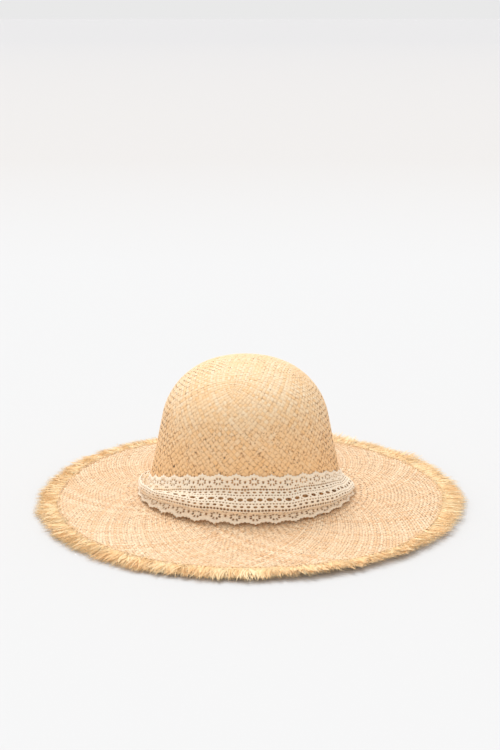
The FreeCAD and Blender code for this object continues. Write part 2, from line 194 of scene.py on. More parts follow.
BRIM = brim_outline()
BRIM.out *= -1 if BRIM.out[-1, 1] < 0 else 1
print(f"brim outline {BRIM.length[-1]:.4f} m long, swirl {BRIM.swirl[-1]:.3f}")

# %% [markdown]
# ## A strip of raffia
#
# Each strip is a flat lens in section: two long sharp sides, a low ridge on either face. A ribbon of
# plain quads with a Solidify modifier would do, but it spends twice the faces. Here one straight
# four-sided bar is made with an operator and cut crosswise, and copies of it are bent along the
# strips' routes. The bar's two side edges are marked sharp, so light breaks there as it does on a
# real strip. A UV map runs along each strip and carries its number, for the material.

# %% Make and bend bars
STRIP_HALF_HEIGHT = 0.00024


def finished_mesh(bm, name):
    """The mesh of a finished BMesh, which is freed."""
    mesh = bpy.data.meshes.new(name)
    bm.to_mesh(mesh)
    bm.free()
    return mesh


def bar_template(cuts, sides, sharp):
    """A closed bar cut into lengths: its mesh, and each vertex's place along and round it."""
    bm = bmesh.new()
    bmesh.ops.create_cone(bm, cap_ends=True, segments=sides, radius1=1, radius2=1, depth=1)
    long_edges = [e for e in bm.edges if abs(e.verts[0].co.z - e.verts[1].co.z) > 0.5]
    if cuts > 1:
        bmesh.ops.subdivide_edges(bm, edges=long_edges, cuts=cuts - 1)
    for face in bm.faces:
        face.smooth = True
    along = [round((v.co.z + 0.5) * cuts) for v in bm.verts]
    round_it = [round(math.atan2(v.co.x, v.co.y) / math.tau * sides) % sides for v in bm.verts]
    if sharp:
        corner = dict(zip(bm.verts, round_it))
        for edge in bm.edges:
            a, b = (corner[v] for v in edge.verts)
            if a == b and a % 2 == 0:
                edge.smooth = False
    return finished_mesh(bm, f"bar_{cuts}_{sides}"), np.array(along), np.array(round_it)


def link(data, name):
    """An object for a mesh, a lamp or a lens, at the origin."""
    piece = bpy.data.objects.new(name, data)
    bpy.context.scene.collection.objects.link(piece)
    return piece


def print_faces(pieces):
    """What a cell has made."""
    for piece in pieces:
        print(piece.name, len(piece.data.polygons), "faces")


def bend_bars(name, strips, sides=4, sharp=True):
    """One object from many strips. A strip is (middle, half side, half height, along, number)."""
    templates = {}
    bm = bmesh.new()
    places, patterns = [], []
    for middle, side, height, along, number in strips:
        cuts = len(middle) - 1
        if cuts not in templates:
            templates[cuts] = bar_template(cuts, sides, sharp)
        mesh, row, corner = templates[cuts]
        bm.from_mesh(mesh)
        angle = corner / sides * math.tau
        places.append(middle[row] + side[row] * np.cos(angle)[:, None]
                      + height[row] * np.sin(angle)[:, None])
        patterns.append(np.stack([along[row], number + 0.1 + 0.4 * (1 + np.cos(angle))], 1))
    mesh = finished_mesh(bm, name)
    mesh.vertices.foreach_set("co", np.concatenate(places).astype(np.float32).ravel())
    corners = np.zeros(len(mesh.loops), np.int32)
    mesh.loops.foreach_get("vertex_index", corners)
    layer = mesh.uv_layers.new(name="strip")
    layer.data.foreach_set("uv", np.concatenate(patterns)[corners].astype(np.float32).ravel())
    for used in templates.values():
        bpy.data.meshes.remove(used[0])
    mesh.update()
    return link(mesh, name)


def strip_along(middle, out, half_width, half_height, number):
    """A strip whose flat lies on the surface that a route follows."""
    forward = unit(np.gradient(middle, axis=0))
    side = unit(np.cross(forward, out))
    height = np.cross(side, forward)
    return (middle, side * np.asarray(half_width)[..., None],
            height * np.asarray(half_height)[..., None], run_length(middle), number)


def across_route(place, out):
    """Unit directions in the surface, square to a route."""
    return unit(np.cross(np.gradient(place, axis=0), out))


def wander(rng, share, waves=5, fastest=14):
    """A smooth random line, about one high, over shares of a strip's length."""
    speed = rng.uniform(1, fastest, waves)
    phase = rng.uniform(0, math.tau, waves)
    size = rng.uniform(0.4, 1, waves) / math.sqrt(waves)
    return (np.sin(share[:, None] * speed * math.tau + phase) * size).sum(1)


# %% [markdown]
# ## The crown's weave
#
# A basket maker starts a crown as a flat plain weave and turns it into a tube at four corners.
# Above the corners the strips run front to back and side to side; below them every strip runs at
# 45 degrees. Lines drawn by hand would never meet up, so a map with four corner points carries each
# strip, a straight line in the flat weave, over the dome in a few hundred small steps. The corners
# sit in the middle of a cell, so that over and under still alternate all the way round.

# %% Trace one quarter of the strips over the dome
STRIPS_ROUND = 88  # of each direction, round the wall
CELLS_TO_CORNER = STRIPS_ROUND // 4
CORNER_REACH = math.pi * math.sqrt(2) / 4  # from the middle to a corner, in map units
CELL = CORNER_REACH / CELLS_TO_CORNER
STEPS_PER_CELL = 4
CROWN_RISE = 0.0004  # how far a strip goes over and under
CORNER_HALF_WIDTH = 0.056  # how far out the corners lie
CORNER_TURN = math.radians(-101)  # where the front corner faces
corner_swirl = np.interp(-CORNER_HALF_WIDTH, -CROWN.across, CROWN.swirl)
EDGE = math.exp(corner_swirl)  # the hem, in the map's corner radii


def seeds():
    """Where the strips cross the line from the middle to a corner."""
    x = np.linspace(0, 1, 20001)[:-1] ** 0.999
    rate = (1 - x**4) ** -0.25
    reach = np.r_[0, np.cumsum(np.diff(x) * (rate[1:] + rate[:-1]) / 2)]
    reach *= CORNER_REACH / (reach[-1] + (1 - x[-1]) ** 0.75 / 0.75 * 4**-0.25)
    return np.interp((np.arange(CELLS_TO_CORNER) + 0.5) * CELL, reach, x)


def trace(seed, small_steps=4):
    """One strip from the middle line down to the hem, as complex places on the map."""
    place = complex(seed)
    root = (1 - place**4) ** 0.25
    path = [place]
    step = CELL / STEPS_PER_CELL / small_steps

    def turned_root(at, near):
        value = (1 - at**4) ** 0.25
        return min((value * 1j**k for k in range(4)), key=lambda option: abs(option - near))

    while abs(place) < EDGE:
        for _ in range(small_steps):
            slope = turned_root(place, root)
            middle = turned_root(place + 0.5j * step * slope, slope)
            place += 1j * step * middle
            root = middle
        path.append(place)
    return np.array(path)


quarter = [trace(seed) for seed in seeds()]
print("steps from the middle to the hem:", [len(path) for path in quarter[::7]])


# %% Weave the crown
def woven_height(cells, index, reach):
    """The rise and fall of a strip that goes over and under."""
    return reach * (-1) ** (index % 2) * np.cos(math.pi * (cells - 0.5))


def crown_strips(direction):
    """All the strips of one direction, 0 or 1, a quarter turn apart."""
    rng = np.random.default_rng(11 + direction)
    strips = []
    for index in range(-CELLS_TO_CORNER, CELLS_TO_CORNER):
        half = quarter[index if index >= 0 else -index - 1]
        if index < 0:
            half = -half.conjugate()
        steps = np.arange(-len(half) + 1, len(half))
        path = np.concatenate([half[:0:-1].conjugate(), half]) * 1j**direction
        cells = steps / STEPS_PER_CELL
        share = (steps - steps[0]) / len(steps)
        swirl = corner_swirl - np.log(np.maximum(abs(path), 1e-6))
        turn = np.unwrap(np.angle(path)) + CORNER_TURN
        place, out = CROWN.at_swirl(swirl, turn)
        pitch = CELL * abs(1 - path**4) ** 0.25 / abs(path) * np.linalg.norm(place[:, :2], axis=1)
        place += across_route(place, out) * (wander(rng, share) * 0.14 * pitch)[:, None]
        # strips lie shoulder to shoulder on top and a little apart lower down
        snug = np.interp(place[:, 2], (0.03, 0.075, 0.12), (0.87, 0.93, 1.03))
        uneven = np.interp(place[:, 2], (0.04, 0.09), (0.24, 0.11))
        width = pitch * snug * rng.normal(1, 0.07) * (1 + uneven * wander(rng, share, fastest=40))
        lift = woven_height(cells, index, CROWN_RISE) + 0.00008 * wander(rng, share, fastest=40)
        place += out * lift[:, None]
        strips.append(strip_along(place, out, width / 2, STRIP_HALF_HEIGHT, index + STRIPS_ROUND))
    return strips


crown_pieces = [bend_bars(f"crown_strips_{way}", crown_strips(direction))
                for direction, way in enumerate(("lengthways", "crossways"))]
print_faces(crown_pieces)

# %% [markdown]
# ## The brim's weave
#
# The brim is finer than the crown. Near the crown two neighbours go over and under together as one
# wide strip, and further out each goes its own way. Their routes stay the same, so only the rise and
# fall changes.

# %% Weave the brim
BRIM_STRIPS = 240  # of each direction
SPLIT_HALF_WIDTH = 0.122  # where the wide strips part
BRIM_STEPS = 2  # per crossing
FLATTEN_FROM, FLATTEN_BY = 0.115, math.radians(11)
BRIM_RISE = 0.0003
HELD_HALF_WIDTH = 0.108  # the brim is soft from here outwards:
BRIM_DRIFT = 0.0045  # it lies a little further out on one side,
FRONT_SAG = 0.004  # has sagged forward at the front
BACK_LIFT = 0.0014  # and is lifted at the back


def brim_turns():
    """How far round a strip has turned at each point of the brim's outline."""
    share = np.clip((BRIM.across - FLATTEN_FROM) / (BRIM_EDGE - FLATTEN_FROM), 0, 1)
    slant = np.tan(math.radians(45) + FLATTEN_BY * share)
    steps = np.diff(BRIM.swirl) * (slant[1:] + slant[:-1]) / 2
    return np.r_[0, np.cumsum(steps)]


BRIM_TURN = brim_turns()
BRIM_CROSSINGS = BRIM_TURN[-1] * BRIM_STRIPS / math.pi


def settle(place):
    """Points of a flat brim moved to where a soft one lies."""
    reach = np.hypot(place[:, 0], place[:, 1] / OVAL)
    turn = np.arctan2(place[:, 1], place[:, 0])
    share = (reach - HELD_HALF_WIDTH) / (BRIM_EDGE - HELD_HALF_WIDTH)
    shift = np.clip(share, 0, 1.1)
    wave = 0.0011 * np.sin(3 * turn + 0.6) + 0.0007 * np.sin(5 * turn + 2.1)
    lifted_back = BACK_LIFT * np.clip(np.sin(turn), 0, 1) ** 1.5
    moved = place.copy()
    moved[:, 0] += BRIM_DRIFT * shift
    moved[:, 1] -= FRONT_SAG * shift * np.clip(-np.sin(turn), 0, 1) ** 2
    moved[:, 2] += np.clip(share, 0, 1.3) ** 1.5 * (wave + lifted_back + 0.001)
    return moved


def brim_strips(direction, numbers):
    """Some strips of one direction: +1 turns with the outline, -1 against it."""
    rng = np.random.default_rng(31 + direction + int(numbers[0]))
    count = int(BRIM_CROSSINGS * BRIM_STEPS)
    steps = np.arange(count + 1)
    turned = steps / BRIM_STEPS * math.pi / BRIM_STRIPS
    length = np.interp(turned, BRIM_TURN, BRIM.length)
    across = np.interp(turned, BRIM_TURN, BRIM.across)
    swirl_slope = np.gradient(turned) / np.gradient(np.interp(length, BRIM.length, BRIM.swirl))
    pitch = math.tau * across / BRIM_STRIPS * np.cos(np.arctan(swirl_slope))
    strips = []
    for number in numbers:
        start = number / BRIM_STRIPS * math.tau
        turn = start + direction * turned
        share = steps / count
        place, out = BRIM.at_length(length, turn)
        # the other direction's strip that is crossed here
        crossed = number + direction * steps / BRIM_STEPS
        alone = woven_height(crossed + 0.5, number, BRIM_RISE)
        paired = BRIM_RISE * (-1) ** ((number // 2) % 2) * np.clip(
            1.7 * np.cos(math.pi * (crossed + 0.5 - 1) / 2), -1, 1)
        part = SPLIT_HALF_WIDTH + 0.006 * math.sin(3 * start) + 0.004 * rng.standard_normal()
        mix = np.clip((across - part) / 0.006 + 0.5, 0, 1)
        lift = direction * (alone * mix + paired * (1 - mix))
        place += across_route(place, out) * (wander(rng, share, fastest=9) * 0.13 * pitch)[:, None]
        place += out * (lift + 0.00005 * wander(rng, share, fastest=30))[:, None]
        width = pitch * rng.normal(0.9, 0.08) * (1 + 0.1 * wander(rng, share, fastest=25))
        strips.append(strip_along(settle(place), out, width / 2, STRIP_HALF_HEIGHT, number))
    return strips


brim_pieces = []
for direction, way in ((1, "with"), (-1, "against")):
    for half in range(2):
        numbers = range(half * BRIM_STRIPS // 2, (half + 1) * BRIM_STRIPS // 2)
        brim_pieces.append(bend_bars(f"brim_strips_{way}_{half + 1}", brim_strips(direction, numbers)))
print_faces(brim_pieces)

# %% [markdown]
# ## The frayed edge
#
# Past its last row of stitches the brim is unwoven and combed out. Its fibres leave the way their
# strip ran and then bend towards straight out. Hair curves don't export as a mesh, so the fibres are
# bars bent as the strips are: a layer of flat shreds, which catch the light, and one of fine hairs.
# The fibres of a tuft share a lean, a length and nearly a shade, and close up towards its tip.

# %% Comb the fringe
SHREDS, HAIRS = 5200, 7600
SHRED_SIZE, HAIR_SIZE = (0.0004, 0.00007), (0.00015, 0.00012)  # half-width, half-height
FRINGE_LENGTH = FRINGE_EDGE - BRIM_EDGE
TUFTS, TUFT_SPREAD = 260, 0.015  # spread in radians
DEEPEST_ROOT = 0.009
LOW_FRONT, HIGH_FRONT = math.radians(-115), math.radians(-48)
LONGER, SHORTER, SHORTER_FRONT = 0.003, 0.003, 0.005  # how the length changes round the brim
FIBRE_CUTS = 4


def fibres(count, size, seed):
    """Fibres combed out of the brim's edge, as strips."""
    rng = np.random.default_rng(seed)
    centre = (np.arange(TUFTS) + rng.uniform(-0.4, 0.4, TUFTS)) / TUFTS * math.tau
    lean, length, rise, wide = rng.normal(0, 1, (4, TUFTS))
    made = []
    for _ in range(count):
        tuft = rng.integers(TUFTS)
        loose = rng.standard_normal()
        start = centre[tuft] + loose * TUFT_SPREAD * (1 + 0.3 * abs(wide[tuft]))
        front, back = max(-math.sin(start), 0), max(math.sin(start), 0)
        left = max(-math.cos(start), 0)
        low_front, high_front = (max(math.cos(start - way), 0) for way in (LOW_FRONT, HIGH_FRONT))
        slant = rng.choice((-1, 1)) * rng.uniform(0.1, 0.9)
        last = 0.28 * lean[tuft] + 0.24 * rng.standard_normal() - 0.18 * loose
        stretch = np.clip(0.87 + 0.12 * length[tuft] + 0.13 * rng.standard_normal(), 0.35, 1.2)
        reach = FRINGE_LENGTH * stretch + LONGER * low_front**4
        reach -= SHORTER * high_front**2 + SHORTER_FRONT * front**2
        reach -= SHORTER * left**2 + SHORTER * back
        root = -min(rng.exponential(0.0012) + 0.0022 * abs(wide[tuft]), DEEPEST_ROOT)
        reach -= root
        share = np.linspace(0, 1, FIBRE_CUTS + 1)
        heading = slant * (1 - share) ** 1.5 + last * share
        step, halfway = reach / FIBRE_CUTS, (heading[1:] + heading[:-1]) / 2
        out_by, round_by = (np.r_[0, np.cumsum(step * part(halfway))] for part in (np.cos, np.sin))
        across = BRIM_EDGE + root + out_by
        turn = start + round_by / across
        base, _ = BRIM.at_length(np.full(1, BRIM.length[-1] + root), np.array([start]))
        drift, slide, sag = (settle(base) - base)[0]
        end_height = 0.0008 + 0.0042 * back**0.7 + 0.0016 * abs(rise[tuft]) * (0.7 + back)
        end_height += 0.0008 * abs(rng.standard_normal())
        # one side of the front droops less than the other
        end_height += 0.0038 * high_front**2
        height = base[0, 2] + sag + rng.uniform(0.0, 0.0006)
        height = height + (end_height - height) * share ** (1.2 + rng.uniform(0, 0.8))
        height = np.maximum(height, size[1] * 2)
        middle = round_hat(across, turn, height) + (drift, slide, 0)
        tilt = rng.normal(0, 0.35, 2)
        out = np.tile([*tilt, 1.0], (FIBRE_CUTS + 1, 1))
        taper = rng.uniform(0.7, 1.4) * np.array([1.2, 1.15, 1.0, 0.7, 0.12])
        made.append(strip_along(middle, out, size[0] * taper, size[1] * taper,
                                tuft * 3 + rng.integers(3)))
    return made


fringe_pieces = [bend_bars("fringe_shreds", fibres(SHREDS, SHRED_SIZE, 71)),
                 bend_bars("fringe_hairs", fibres(HAIRS, HAIR_SIZE, 72), sides=3, sharp=False)]
print_faces(fringe_pieces)

# %% [markdown]
# ## The lace band
#
# The band is crocheted cotton ribbon with a scalloped edge on both sides, folded lengthwise: its
# upper part lies on the crown, the middle stands out in a ridge, and the lower part is tucked back
# and spread on the brim. One repeat is drawn flat, with a real hole for every gap in the stitches,
# copied along and carried onto the folded section. A transparent material would be lighter, but the
# holes' edges would look printed.

# %% Sizes of the ribbon
lace_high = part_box("lace_band")[1]
LACE_WIDTH = 0.052
LACE_THICKNESS = 0.0008
LACE_REPEATS = 34
LACE_RADIUS = (lace_high.x + wall_at(lace_high.z)) / 2 - 0.001
LACE_LENGTH = math.tau * LACE_RADIUS * math.sqrt((1 + OVAL**2) / 2)
REPEAT = LACE_LENGTH / LACE_REPEATS
NOTCH, PICOT = 0.0024, 0.0011  # notches between the lobes, and small points on them
ROW_HEIGHT = 0.0029  # the ribbon can bend at each row
print(f"ribbon {LACE_WIDTH:.3f} by {LACE_LENGTH:.3f} m, repeat {REPEAT:.4f} m")

# gaps in the stitches: place along as a share of the repeat, place across, half length, half width
CENTRE_EYELETS = [(0.25, 0, 0.0034, 0.0019), (0.75, 0, 0.0027, 0.0018),
                  (0.5, -0.0018, 0.0007, 0.0008), (0.5, 0.0018, 0.0007, 0.0008)]
SIDE_EYELETS = (
    [((k + 0.5) / 6, 0.0045, 0.0010, 0.0007) for k in range(6)]
    + [((k + 0.5) / 3, 0.0074, 0.0018, 0.0010) for k in range(3)]
    + [(along, 0.0106, 0.0013, 0.0011) for along in (0.165, 0.835)]
    + [(along, 0.0134, 0.0011, 0.0010) for along in (0.085, 0.915)]
    + [(along, 0.0106, 0.0012, 0.0009) for along in (0.34, 0.5, 0.66)]
)
SEAM_EYELETS = [(0.0176, 0.0012, 0.0014), (0.0106, 0.0013, 0.0011), (0.0018, 0.0007, 0.0008)]
FLOWER_CENTRE, FLOWER_REACH, PETAL_HOLE = 0.0180, (0.0042, 0.0027), (0.0013, 0.0009)


def repeat_eyelets():
    """Every whole gap of one repeat, in metres, with how far each is turned."""
    gaps = [(along * REPEAT, across, *size, 0) for along, across, *size in CENTRE_EYELETS]
    for half in (-1, 1):
        gaps += [(along * REPEAT, half * across, *size, 0) for along, across, *size in SIDE_EYELETS]
        for petal in range(8):
            angle = (petal + 0.5) / 8 * math.tau
            place = FLOWER_REACH[0] * math.cos(angle), FLOWER_REACH[1] * math.sin(angle)
            gaps.append((REPEAT / 2 + place[0], half * FLOWER_CENTRE + place[1], *PETAL_HOLE,
                         math.atan2(place[1], place[0])))
    return gaps


# %% Draw one repeat flat
def scalloped_edge(half, points=24):
    """One long edge of the repeat, from its start to its end."""
    edge = []
    for share in np.linspace(0, 1, points + 1):
        notch = abs(math.cos(share * math.pi)) ** 1.2
        picot = -PICOT * abs(math.cos(share * math.pi * 5))
        edge.append((share * REPEAT, half * (LACE_WIDTH / 2 - NOTCH * notch + picot)))
    return edge


def seam_side(start, way):
    """The repeat's end, from top to bottom, going round its half of each gap there."""
    gaps = SEAM_EYELETS + [(-across, *size) for across, *size in reversed(SEAM_EYELETS)]
    points = []
    for across, half_length, half_width in gaps:
        for angle in np.linspace(0, math.pi, 5):
            points.append((start + way * half_length * math.sin(angle),
                           across + half_width * math.cos(angle)))
    return points


def lace_repeat():
    """A flat repeat of the ribbon with its gaps, as a mesh in the XY plane."""
    bm = bmesh.new()
    top, bottom = scalloped_edge(1), scalloped_edge(-1)
    round_it = top + seam_side(REPEAT, -1) + bottom[::-1] + seam_side(0, 1)[::-1]
    rim = [bm.verts.new((x, y, 0)) for x, y in round_it]
    edges = [bm.edges.new(pair) for pair in zip(rim, rim[1:] + rim[:1])]
    for along, across, half_length, half_width, angle in repeat_eyelets():
        ring = bmesh.ops.create_circle(bm, cap_ends=False, radius=1, segments=8)["verts"]
        bmesh.ops.scale(bm, verts=ring, vec=(half_length, half_width, 1))
        bmesh.ops.rotate(bm, verts=ring, matrix=Matrix.Rotation(angle, 3, "Z"))
        bmesh.ops.translate(bm, verts=ring, vec=(along, across, 0))
        edges += list({edge for vert in ring for edge in vert.link_edges})
    bmesh.ops.triangle_fill(bm, use_beauty=True, use_dissolve=False, edges=edges, normal=(0, 0, 1))
    for height in np.arange(-8, 9) * ROW_HEIGHT:
        bmesh.ops.bisect_plane(bm, geom=bm.verts[:] + bm.edges[:] + bm.faces[:],
                               plane_co=(0, height, 0), plane_no=(0, 1, 0))
    return finished_mesh(bm, "lace_repeat")


# %% Fold the ribbon round the crown
# The folded section, from the band's upper edge to its lower one: nine pairs of half-width and
# height in millimetres. At the front it was pinned up; towards one side its fold has opened into a trough,
# towards the other it has sunk flat, and at the back it hugs the crown.
FOLD_AT = np.array([0, 9.8, 19.5, 25.9, 33.7, 37.8, 41.8, 46.7, 52.0]) / 52.0
FOLDS = {  # by how far round from the front, in degrees
    0: [88.9, 57, 91.2, 47.5, 93.6, 38.6, 98.2, 34, 102.4, 28, 103.6, 23.8,
        99.2, 19.4, 101.6, 15.2, 105.6, 11.7],
    50: [89.8, 49.4, 91.6, 40.6, 94.8, 33.4, 101.2, 30.2, 105.2, 24.6, 105.4, 20.4,
         101, 16.6, 103.4, 13.4, 107.6, 11.6],
    90: [93.5, 31, 95.8, 26, 99.8, 21.4, 103.6, 18.2, 107.4, 14.8, 106.8, 12.9,
         104.6, 12.3, 105.4, 11.9, 109, 11],
    125: [93.9, 25.5, 94.8, 21.5, 96.6, 17.3, 98.8, 14.9, 101.4, 14.2, 103, 13.6,
          102.6, 12.5, 103.6, 12, 106.4, 11.3],
    235: [94.2, 24, 95.2, 20, 97, 16.4, 99.2, 14.9, 101.6, 14.6, 103, 13.8,
          102.6, 12.5, 103.6, 12, 106.4, 11.3],
    252: [94.9, 25.5, 96.6, 18, 100, 14.2, 103.2, 17.8, 105.6, 15.6, 105.2, 13.4,
          103.4, 12.2, 104.4, 11.8, 107, 11.2],
    270: [95, 27.6, 97, 18.4, 99.8, 13.6, 103, 22.6, 106, 18.8, 105.9, 14.8,
          103.6, 12.3, 104.6, 11.9, 107.2, 11.2],
    286: [93.7, 34, 95, 24.4, 97.9, 17.2, 103.8, 27.2, 106.6, 22.8, 105.8, 19,
          102.8, 15, 104.4, 13, 107.8, 11.3],
    305: [91, 43.2, 93, 33.8, 96.8, 26.4, 104.8, 30.2, 107, 26.2, 105.8, 22.8,
          100.8, 18.6, 103.6, 14.8, 108.4, 11.4],
    335: [89.2, 54.2, 91.2, 44.8, 93.6, 36.4, 99.6, 33.6, 103.8, 29.4, 104.4, 25.2,
          99.6, 20.2, 102.2, 15.4, 106.6, 11.6],
}


def fold_table():
    """The section at every degree, eased from one fold to the next."""
    degrees = np.arange(360)
    keys = np.array(list(FOLDS) + [360])
    folds = np.array([*FOLDS.values(), FOLDS[0]])
    table = np.stack([np.interp(degrees, keys, column) for column in folds.T], 1)
    window = np.hanning(31)
    wrapped = np.concatenate([table[-15:], table, table[:15]])
    eased = [np.convolve(column, window / window.sum(), "valid") for column in wrapped.T]
    return np.stack(eased, 1).reshape(360, -1, 2) / 1000


FOLD_TABLE = fold_table()


def fold_section(turn):
    """The folded section at a place round the hat, in metres."""
    degree = np.degrees(turn + math.pi / 2) % 360
    low = degree.astype(int) % 360
    share = (degree - np.floor(degree))[:, None, None]
    return FOLD_TABLE[low] * (1 - share) + FOLD_TABLE[(low + 1) % 360] * share


def smooth_curve(points, at, where):
    """Points on a smooth curve through points, one curve for each place."""
    spot = np.clip(np.searchsorted(where, at, side="right") - 1, 0, len(where) - 2)
    rows = np.arange(len(at))
    slopes = np.gradient(points, where, axis=1)
    gap = (where[spot + 1] - where[spot])[:, None]
    share = ((at - where[spot]) / (where[spot + 1] - where[spot]))[:, None]
    a, b = points[rows, spot], points[rows, spot + 1]
    c, d = slopes[rows, spot] * gap, slopes[rows, spot + 1] * gap
    return ((2 * share**3 - 3 * share**2 + 1) * a + (share**3 - 2 * share**2 + share) * c
            + (-2 * share**3 + 3 * share**2) * b + (share**3 - share**2) * d)


LACE_JOIN = 0.0006  # gap where the ends meet at the back


def fold_ribbon(flat):
    """Where points of the flat ribbon lie once it is folded round the hat."""
    share = flat[:, 0] / LACE_LENGTH
    turn = math.pi / 2 + (share - 0.5) * (math.tau - LACE_JOIN / LACE_RADIUS) + math.pi
    where = np.clip(0.5 - flat[:, 1] / LACE_WIDTH, 0, 1)
    section = smooth_curve(fold_section(turn), where, FOLD_AT)
    wave = 0.0006 * np.sin(9 * turn + 1) + 0.0004 * np.sin(23 * turn + 5 * where)
    across = section[:, 0] + wave * np.sin(where * math.pi)
    up = section[:, 1] + 0.0005 * np.sin(14 * turn + 2) * np.sin(where * math.pi)
    return round_hat(across, turn, up)


def thicken(piece, thickness):
    """Give a sheet its thickness, half to either side."""
    solid = piece.modifiers.new("thickness", "SOLIDIFY")
    solid.thickness = thickness
    solid.offset = 0


def lace_band():
    """The folded ribbon, and the area of its cloth while it is flat."""
    bm = bmesh.new()
    repeat = lace_repeat()
    for count in range(LACE_REPEATS):
        before = len(bm.verts)
        bm.from_mesh(repeat)
        bm.verts.ensure_lookup_table()
        bmesh.ops.translate(bm, verts=bm.verts[before:], vec=(count * REPEAT, 0, 0))
    bmesh.ops.remove_doubles(bm, verts=bm.verts, dist=0.00002)
    bmesh.ops.recalc_face_normals(bm, faces=bm.faces)
    pattern = bm.loops.layers.uv.new("ribbon")
    for face in bm.faces:
        face.smooth = True
        for loop in face.loops:
            loop[pattern].uv = loop.vert.co.xy
    flat_area = sum(face.calc_area() for face in bm.faces)
    mesh = finished_mesh(bm, "lace_band_crochet")
    bpy.data.meshes.remove(repeat)
    flat = np.zeros(len(mesh.vertices) * 3, np.float32)
    mesh.vertices.foreach_get("co", flat)
    mesh.vertices.foreach_set("co", fold_ribbon(flat.reshape(-1, 3)).astype(np.float32).ravel())
    mesh.update()
    band = link(mesh, "lace_band_crochet")
    thicken(band, LACE_THICKNESS)
    return band, flat_area


lace, lace_area = lace_band()
print_faces([lace])
print(f"{lace_area:.4f} of {LACE_WIDTH * LACE_LENGTH:.4f} m2 is cloth")

# %% [markdown]
# ## Sweatband and threads
#
# Inside, a cotton tape hides the seam between crown and brim. It is a straight strip turned into a
# ring, so a grid carried onto the wall is all it needs; a Solidify modifier gives it its thickness.
# Every stitch is a short rounded bar that dips at both ends, because a row of stitches catches the
# light as separate grains and a painted line doesn't.

# %% Sweatband
band_low, band_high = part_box("sweatband")
BAND_WIDTH = band_high.z - band_low.z
BAND_THICKNESS = 0.0012
BAND_JOIN = 0.0006
BAND_CELLS = (240, 16)


def sweatband():
    """The tape, and its length."""
    bm = bmesh.new()
    bmesh.ops.create_grid(bm, x_segments=BAND_CELLS[0], y_segments=BAND_CELLS[1], size=0.5)
    pattern = bm.loops.layers.uv.new("tape")
    middle = wall_at(band_low.z + BAND_WIDTH / 2)
    band_length = math.tau * middle
    for face in bm.faces:
        face.smooth = True
        for loop in face.loops:
            loop[pattern].uv = ((loop.vert.co.x + 0.5) * band_length,
                                (loop.vert.co.y + 0.5) * BAND_WIDTH)
    for vert in bm.verts:
        turn = -math.pi / 2 + vert.co.x * (math.tau - BAND_JOIN / middle)
        height = band_low.z + (vert.co.y + 0.5) * BAND_WIDTH
        depth = 2 * STRAW + BAND_THICKNESS / 2
        across = wall_at(height, depth) + 0.0002 * math.sin(11 * turn) * (vert.co.y + 0.5)
        vert.co = (across * math.cos(turn), across * math.sin(turn) * OVAL, height)
    bmesh.ops.recalc_face_normals(bm, faces=bm.faces)
    band = link(finished_mesh(bm, "sweatband_tape"), "sweatband_tape")
    thicken(band, BAND_THICKNESS)
    return band, band_length * math.sqrt((1 + OVAL**2) / 2)


sweat, SWEAT_LENGTH = sweatband()
print(sweat.name, f"{BAND_WIDTH:.3f} by {SWEAT_LENGTH:.3f} m")


# %% Threads
def stitch(start, end, out, radius=0.0004, points=5):
    """One stitch that rises from the cloth, lies on it and dips back in."""
    share = np.linspace(0, 1, points)
    middle = np.array(start) + (np.array(end) - start) * share[:, None]
    middle = middle + np.array(out) * (np.sin(share * math.pi) ** 0.5 * radius - radius * 0.3)[:, None]
    outward = np.tile(np.array(out), (points, 1))
    return strip_along(middle, outward, np.full(points, radius), np.full(points, radius), 0)


def seam_row(outline, length, lift, count, share=0.68):
    """A closed row of stitches round the hat at one length along an outline."""
    made = []
    for number in range(count):
        start = number / count * math.tau
        turn = np.array([start, start + math.tau / count * share])
        ends, out = outline.at_length(np.full(2, length), turn, lift)
        if outline is BRIM:
            ends = settle(ends)
        made.append(stitch(ends[0], ends[1], out.mean(0) * (1 if lift > 0 else -1)))
    return made


def thread_piece(name, stitches, node):
    """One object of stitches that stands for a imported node."""
    piece = bend_bars(name, stitches, sides=6, sharp=False)
    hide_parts(node)
    return piece


def height_on_wall(height):
    """How far along the crown's outline a height on the wall is."""
    return np.interp(height, CROWN.up, CROWN.length)


seam_low, seam_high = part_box("head_seam_stitching")
head_length = height_on_wall((seam_low.z + seam_high.z) / 2)
head_rows = (seam_row(CROWN, head_length, STRAW / 2 + 0.0003, 150)
             + seam_row(CROWN, head_length, -(STRAW * 1.5 + BAND_THICKNESS + 0.0003), 140))
edge_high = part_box("brim_edge_stitching")[1]
edge_length = np.interp(edge_high.x - 0.0005, BRIM.across, BRIM.length)
edge_rows = [row for lift in (0.0005, -0.0005) for row in seam_row(BRIM, edge_length, lift, 300, 0.6)]
threads = [thread_piece("head_seam_stitches", head_rows, "head_seam_stitching"),
           thread_piece("brim_edge_stitches", edge_rows, "brim_edge_stitching")]

# %% Short stitches at the joins and under the lace
BACK = math.pi / 2
JOIN_STITCHES, HEM_TACKS, FRONT_TACKS = 4, 12, 5
FRONT_TACK_SPREAD = math.radians(100)
join_low, join_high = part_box("sweatband_join_stitches")
band_joins = []
for height in np.linspace(join_low.z + 0.0005, join_high.z - 0.0005, JOIN_STITCHES):
    inside = wall_at(height, 2 * STRAW + BAND_THICKNESS)
    for way in (-1, 1):
        band_joins.append(stitch((-0.0025, inside * OVAL - 0.0002, height - way * 0.0012),
                                 (0.0025, inside * OVAL - 0.0002, height + way * 0.0012), (0, -1, 0)))
threads.append(thread_piece("sweatband_join_threads", band_joins, "sweatband_join_stitches"))


